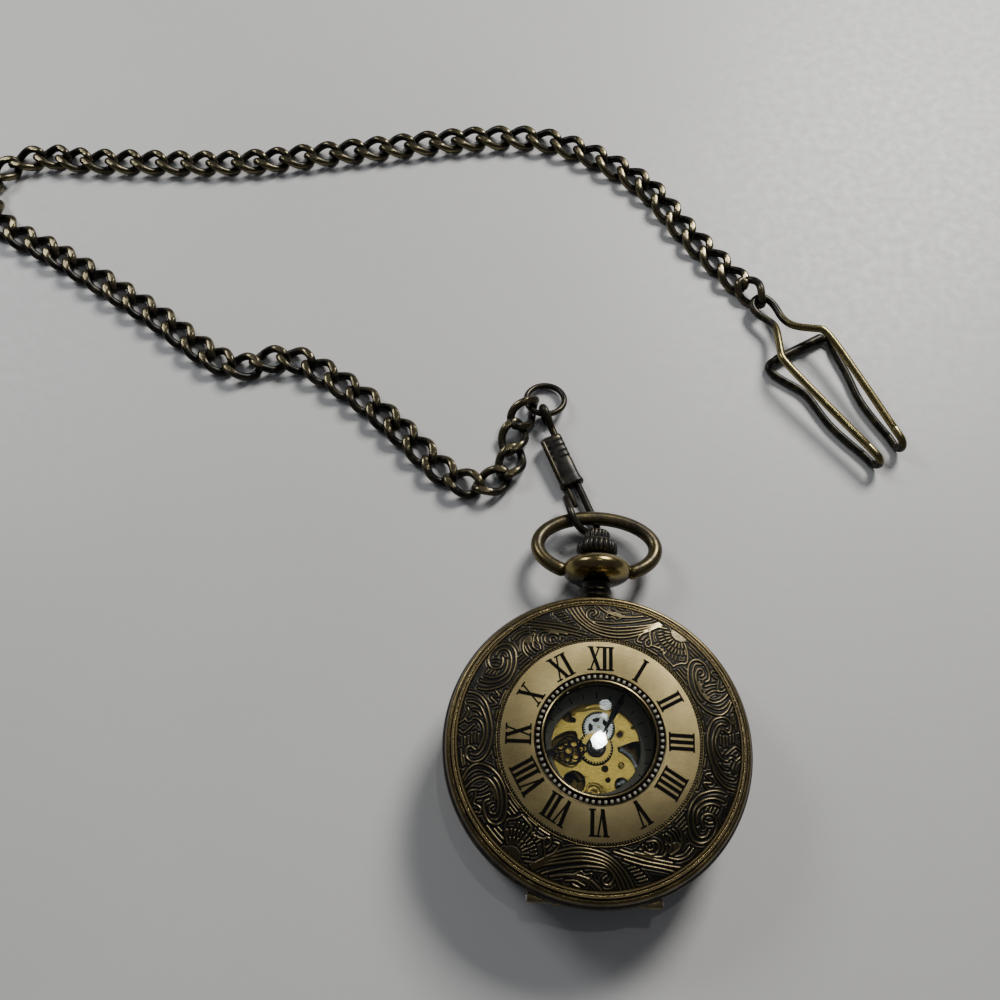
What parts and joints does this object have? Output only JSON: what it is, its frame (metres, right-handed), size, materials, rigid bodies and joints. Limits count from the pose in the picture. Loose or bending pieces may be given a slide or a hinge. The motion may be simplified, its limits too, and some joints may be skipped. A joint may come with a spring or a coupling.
{
  "type": "pocket watch with chain",
  "caption": "Half-hunter pocket watch with hinged covers, bow, push-button crown, visible movement, swivel clasp, curb chain and sprung wire clip.",
  "frame": {"origin": "centre of the case, on the flat of the back cover that rests on the table", "axes": "+Z out of the dial, +Y towards the pendant and 12 o'clock, +X towards 3 o'clock; the chain lies on the same table plane"},
  "size_m": [0.1821, 0.1527, 0.0163],
  "materials": {
    "antique_brass": "antiqued, dark in the recesses and rubbed bright on the edges",
    "dark_bronze": "dark bronze plating, worn to brass on the edges",
    "satin_brass": "fine brushed",
    "gilt_brass": "gilt, fine brushed",
    "steel": "fine brushed",
    "blued_steel": "dark polished",
    "dial_grey": "matt dark grey with a light minute track",
    "crystal": "clear polished"
  },
  "bodies": {
    "case": {"case_middle": "antique_brass", "pendant": "antique_brass", "front_hinge_pin": "steel", "back_hinge_pin": "steel", "lift_spring": "steel", "crystal_bezel": "antique_brass", "main_crystal": "crystal", "inner_back_ring": "antique_brass", "inner_back_crystal": "crystal", "movement_ring": "dark_bronze", "dial": "dial_grey", "main_plate": "gilt_brass", "barrel_bridge": "gilt_brass", "train_bridge": "gilt_brass", "balance_cock": "gilt_brass", "pallet_cock": "gilt_brass", "hairspring": "blued_steel"},
    "front_lid": {"front_cover": "antique_brass", "front_cover_crystal": "crystal", "front_crystal_ring": "satin_brass"},
    "back_lid": {"back_cover": "antique_brass"},
    "catch": {"lock_spring": "steel"},
    "bow_loop": {"bow": "antique_brass"},
    "stem_slider": {"stem_sleeve": "steel"},
    "crown_set": {"crown": "dark_bronze", "winding_stem": "steel", "winding_pinion": "steel"},
    "button": {"crown_button": "dark_bronze"},
    "clasp": {"clasp_hook": "dark_bronze"},
    "clasp_gate": {"clasp_sleeve": "dark_bronze"},
    "end_ring": {"chain_ring": "dark_bronze"},
    "chain_a": {"chain_01": "dark_bronze"},
    "chain_b": {"chain_02": "dark_bronze"},
    "chain_c": {"chain_03": "dark_bronze"},
    "chain_d": {"chain_04": "dark_bronze"},
    "chain_e": {"chain_05": "dark_bronze"},
    "chain_f": {"chain_06": "dark_bronze"},
    "chain_g": {"chain_07": "dark_bronze"},
    "chain_h": {"chain_08": "dark_bronze"},
    "clip": {"clip_wire": "antique_brass"},
    "jaw": {"clip_jaw": "dark_bronze"},
    "minute_set": {"centre_wheel": "gilt_brass", "cannon_pinion": "steel", "minute_hand": "blued_steel"},
    "hour_set": {"hour_wheel": "gilt_brass", "hour_hand": "blued_steel"},
    "motion_wheel": {"minute_wheel": "steel"},
    "barrel_set": {"mainspring_barrel": "gilt_brass", "barrel_lid": "gilt_brass", "mainspring": "steel"},
    "ratchet_set": {"barrel_arbor": "steel", "ratchet_wheel": "steel"},
    "third_set": {"third_wheel": "gilt_brass"},
    "fourth_set": {"fourth_wheel": "gilt_brass"},
    "escape_set": {"escape_wheel": "gilt_brass"},
    "fork_set": {"pallet_fork": "steel"},
    "balance_set": {"balance_wheel": "gilt_brass"},
    "crown_wheel_set": {"crown_wheel": "steel"},
    "click_set": {"click": "steel"}
  },
  "joints": [
    {"name": "front_cover_open", "type": "hinge", "parent": "case", "child": "front_lid", "pos_m": [0, -0.022, 0.0089], "axis": [1, 0, 0], "range_deg": [0, 95]},
    {"name": "back_cover_open", "type": "hinge", "parent": "case", "child": "back_lid", "pos_m": [0, -0.022, 0.0043], "axis": [-1, 0, 0], "range_deg": [0, 75]},
    {"name": "bow_swing", "type": "hinge", "parent": "case", "child": "bow_loop", "pos_m": [0, 0.0298, 0.0057], "axis": [1, 0, 0], "range_deg": [-75, 105]},
    {"name": "stem_pull", "type": "slide", "parent": "case", "child": "stem_slider", "axis": [0, 1, 0], "range_m": [0, 0.0008]},
    {"name": "crown_turn", "type": "hinge", "parent": "stem_slider", "child": "crown_set", "pos_m": [0, 0.0324, 0.0057], "axis": [0, 1, 0], "continuous": true},
    {"name": "button_press", "type": "slide", "parent": "crown_set", "child": "button", "axis": [0, -1, 0], "range_m": [0, 0.0008], "stiffness_N_per_m": 50},
    {"name": "catch_slide", "type": "slide", "parent": "case", "child": "catch", "axis": [0, -1, 0], "range_m": [0, 0.0006]},
    {"name": "clasp_swing", "type": "hinge", "parent": "bow_loop", "child": "clasp", "pos_m": [0, 0.04052, 0.00283], "axis": [1, 0, 0], "range_deg": [-40, 22]},
    {"name": "clasp_gate_slide", "type": "slide", "parent": "clasp", "child": "clasp_gate", "axis": [-0.4219, 0.9047, 0.0599], "range_m": [0, 0.0016], "stiffness_N_per_m": 50},
    {"name": "ring_turn", "type": "hinge", "parent": "clasp", "child": "end_ring", "pos_m": [-0.00944, 0.06093, 0.00216], "axis": [0, 0, 1], "range_deg": [-8, 15]},
    {"name": "chain_turn_01", "type": "hinge", "parent": "end_ring", "child": "chain_a", "pos_m": [-0.01187, 0.0621, 0.0015], "axis": [0, 0, 1], "range_deg": [-25, 8]},
    {"name": "chain_turn_02", "type": "hinge", "parent": "chain_a", "child": "chain_b", "pos_m": [-0.03728, 0.0581, 0.0015], "axis": [0, 0, 1], "range_deg": [-14, 14]},
    {"name": "chain_turn_03", "type": "hinge", "parent": "chain_b", "child": "chain_c", "pos_m": [-0.07326, 0.0712, 0.0015], "axis": [0, 0, -1], "range_deg": [-14, 7]},
    {"name": "chain_turn_04", "type": "hinge", "parent": "chain_c", "child": "chain_d", "pos_m": [-0.10785, 0.09296, 0.0015], "axis": [0, 0, 1], "range_deg": [-12, 14]},
    {"name": "chain_turn_05", "type": "hinge", "parent": "chain_d", "child": "chain_e", "pos_m": [-0.11059, 0.11635, 0.0015], "axis": [0, 0, -1], "range_deg": [-14, 10]},
    {"name": "chain_turn_06", "type": "hinge", "parent": "chain_e", "child": "chain_f", "pos_m": [-0.06978, 0.11768, 0.0015], "axis": [0, 0, 1], "range_deg": [-14, 14]},
    {"name": "chain_turn_07", "type": "hinge", "parent": "chain_f", "child": "chain_g", "pos_m": [-0.02956, 0.12511, 0.0015], "axis": [0, 0, -1], "range_deg": [-14, 14]},
    {"name": "chain_turn_08", "type": "hinge", "parent": "chain_g", "child": "chain_h", "pos_m": [0.00841, 0.11549, 0.0015], "axis": [0, 0, 1], "range_deg": [-8, 14]},
    {"name": "clip_turn", "type": "hinge", "parent": "chain_h", "child": "clip", "pos_m": [0.0309, 0.0885, 0.0022], "axis": [0, 0, 1], "range_deg": [-18, 25]},
    {"name": "jaw_flex", "type": "hinge", "parent": "clip", "child": "jaw", "pos_m": [0.0526, 0.05555, 0.00235], "axis": [-0.8, -0.6, 0], "range_deg": [0, 10], "stiffness_Nm_per_rad": 0.01},
    {"name": "minute_hand_turn", "type": "hinge", "parent": "case", "child": "minute_set", "pos_m": [0, 0, 0.0057], "axis": [0, 0, -1], "continuous": true},
    {"name": "hour_hand_turn", "type": "hinge", "parent": "case", "child": "hour_set", "pos_m": [0, 0, 0.0057], "axis": [0, 0, -1], "continuous": true},
    {"name": "motion_wheel_turn", "type": "hinge", "parent": "case", "child": "motion_wheel", "pos_m": [0.0004, 0.0031, 0.0057], "axis": [0, 0, -1], "continuous": true},
    {"name": "barrel_turn", "type": "hinge", "parent": "case", "child": "barrel_set", "pos_m": [-0.0076, 0.004, 0.0057], "axis": [0, 0, -1], "continuous": true},
    {"name": "third_turn", "type": "hinge", "parent": "case", "child": "third_set", "pos_m": [0.0046, -0.00386, 0.0057], "axis": [0, 0, -1], "continuous": true},
    {"name": "fourth_turn", "type": "hinge", "parent": "case", "child": "fourth_set", "pos_m": [0.00092, -0.00709, 0.0057], "axis": [0, 0, -1], "continuous": true},
    {"name": "escape_turn", "type": "hinge", "parent": "case", "child": "escape_set", "pos_m": [-0.0029, -0.0095, 0.0057], "axis": [0, 0, -1], "continuous": true},
    {"name": "fork_swing", "type": "hinge", "parent": "case", "child": "fork_set", "pos_m": [-0.00587, -0.00906, 0.0057], "axis": [0, 0, 1], "range_deg": [-5, 5]},
    {"name": "balance_swing", "type": "hinge", "parent": "case", "child": "balance_set", "pos_m": [-0.009, -0.0086, 0.0057], "axis": [0, 0, 1], "range_deg": [-135, 135]},
    {"name": "crown_wheel_turn", "type": "hinge", "parent": "case", "child": "crown_wheel_set", "pos_m": [-0.0022, 0.0086, 0.0057], "axis": [0, 0, 1], "continuous": true},
    {"name": "ratchet_turn", "type": "hinge", "parent": "case", "child": "ratchet_set", "pos_m": [-0.0076, 0.004, 0.0057], "axis": [0, 0, 1], "continuous": true},
    {"name": "click_swing", "type": "hinge", "parent": "case", "child": "click_set", "pos_m": [-0.0124, 0.0084, 0.0057], "axis": [0, 0, 1], "range_deg": [0, 12]}
  ],
  "couplings": [
    {"joint": "hour_hand_turn", "follows": "minute_hand_turn", "ratio": 0.083333},
    {"joint": "motion_wheel_turn", "follows": "minute_hand_turn", "ratio": -0.33333},
    {"joint": "barrel_turn", "follows": "minute_hand_turn", "ratio": -0.125},
    {"joint": "third_turn", "follows": "minute_hand_turn", "ratio": -8},
    {"joint": "fourth_turn", "follows": "minute_hand_turn", "ratio": 60},
    {"joint": "crown_wheel_turn", "follows": "crown_turn", "ratio": 0.66667},
    {"joint": "ratchet_turn", "follows": "crown_turn", "ratio": -0.6},
    {"joint": "catch_slide", "follows": "button_press", "ratio": 0.75}
  ]
}
